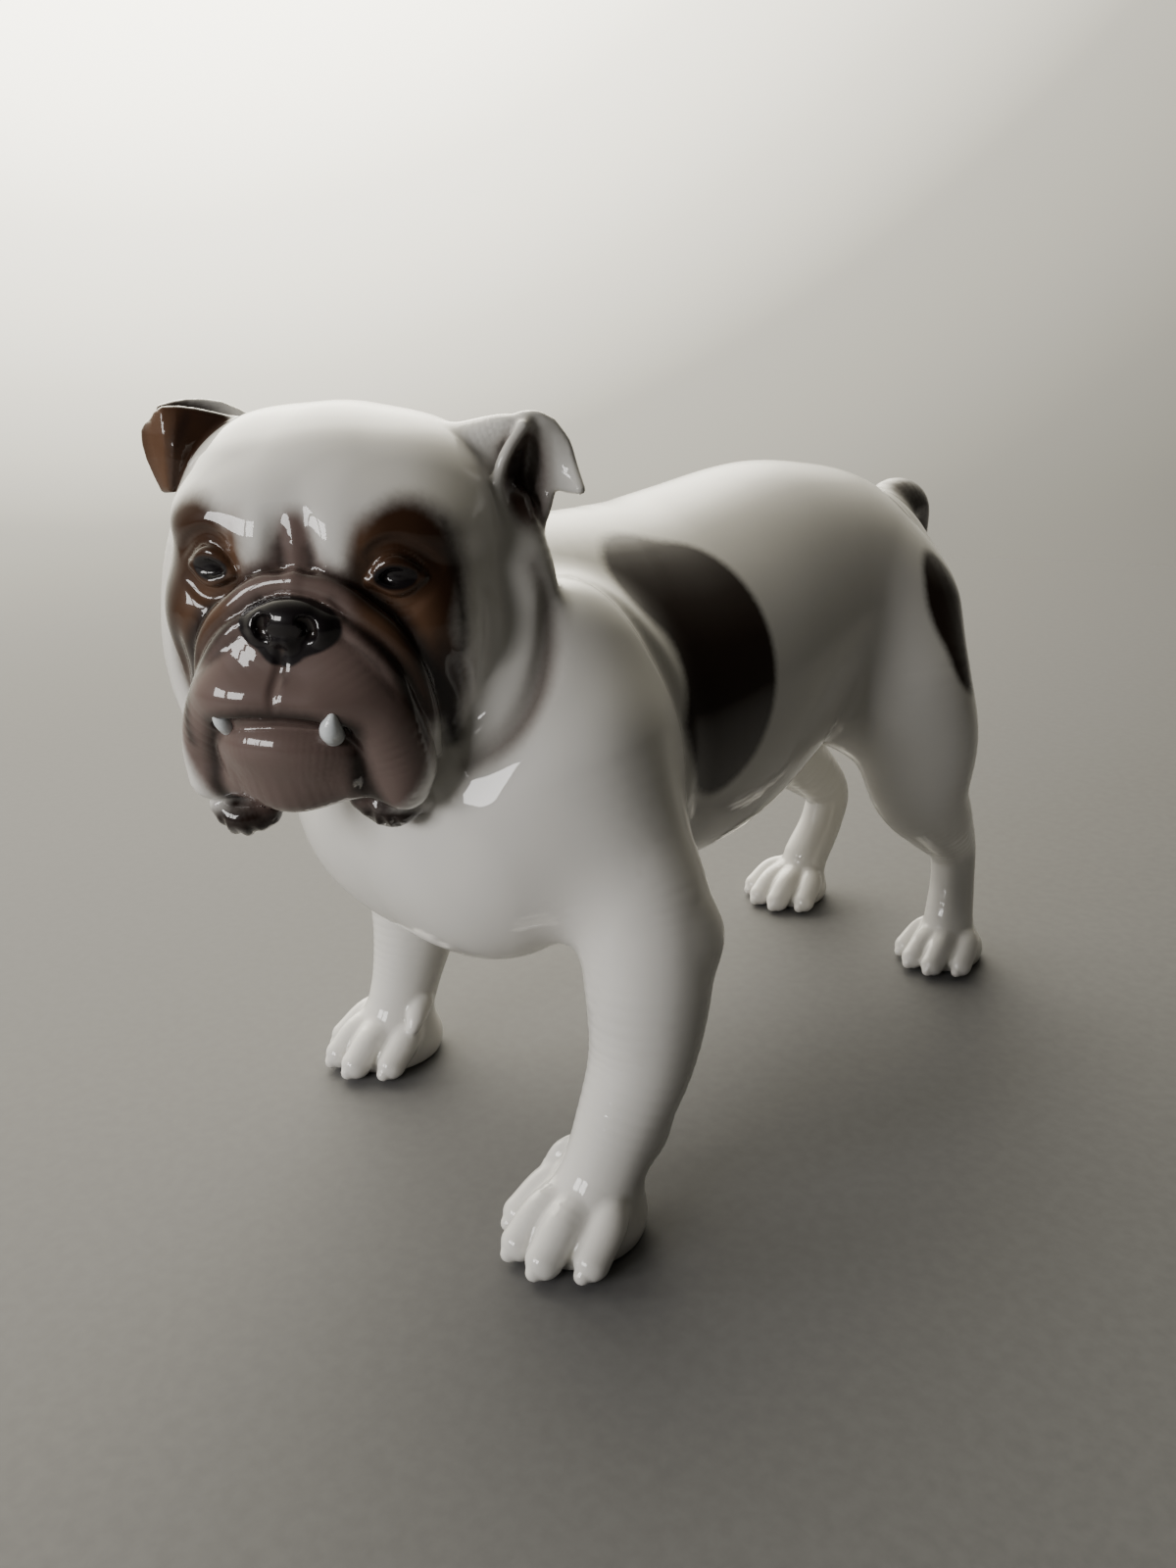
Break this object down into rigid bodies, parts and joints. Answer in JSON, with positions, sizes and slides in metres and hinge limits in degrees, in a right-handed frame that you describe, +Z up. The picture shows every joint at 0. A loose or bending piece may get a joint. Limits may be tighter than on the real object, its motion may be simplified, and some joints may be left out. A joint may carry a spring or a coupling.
{
  "type": "dog figurine",
  "caption": "Free-standing glazed porcelain bulldog figurine, head turned to its left, on four flat-soled paws.",
  "frame": {"origin": "on the ground, in the middle of the figurine's outer box", "axes": "+Z up, -Y the way the dog's body faces, +X the dog's own left"},
  "size_m": [0.1206, 0.2264, 0.1584],
  "materials": {
    "glazed_white_porcelain": "clear gloss glaze over white porcelain with soft airbrushed underglaze patches",
    "glazed_painted_head": "clear gloss glaze over white porcelain with airbrushed brown eye patches and a taupe muzzle",
    "glazed_taupe_muzzle": "clear gloss glaze over taupe underglaze",
    "glazed_painted_ear": "clear gloss glaze over brown airbrushed underglaze",
    "glazed_white_tooth": "clear gloss glaze over white porcelain",
    "glazed_dark_brown": "clear gloss glaze over dark brown underglaze"
  },
  "bodies": {
    "root": {"torso": "glazed_white_porcelain", "head": "glazed_painted_head", "lower_jaw": "glazed_taupe_muzzle", "left_ear": "glazed_painted_ear", "right_ear": "glazed_painted_ear", "left_lower_canine": "glazed_white_tooth", "right_lower_canine": "glazed_white_tooth", "left_foreleg": "glazed_white_porcelain", "right_foreleg": "glazed_white_porcelain", "left_hind_leg": "glazed_white_porcelain", "right_hind_leg": "glazed_white_porcelain", "tail": "glazed_dark_brown"}
  },
  "joints": []
}
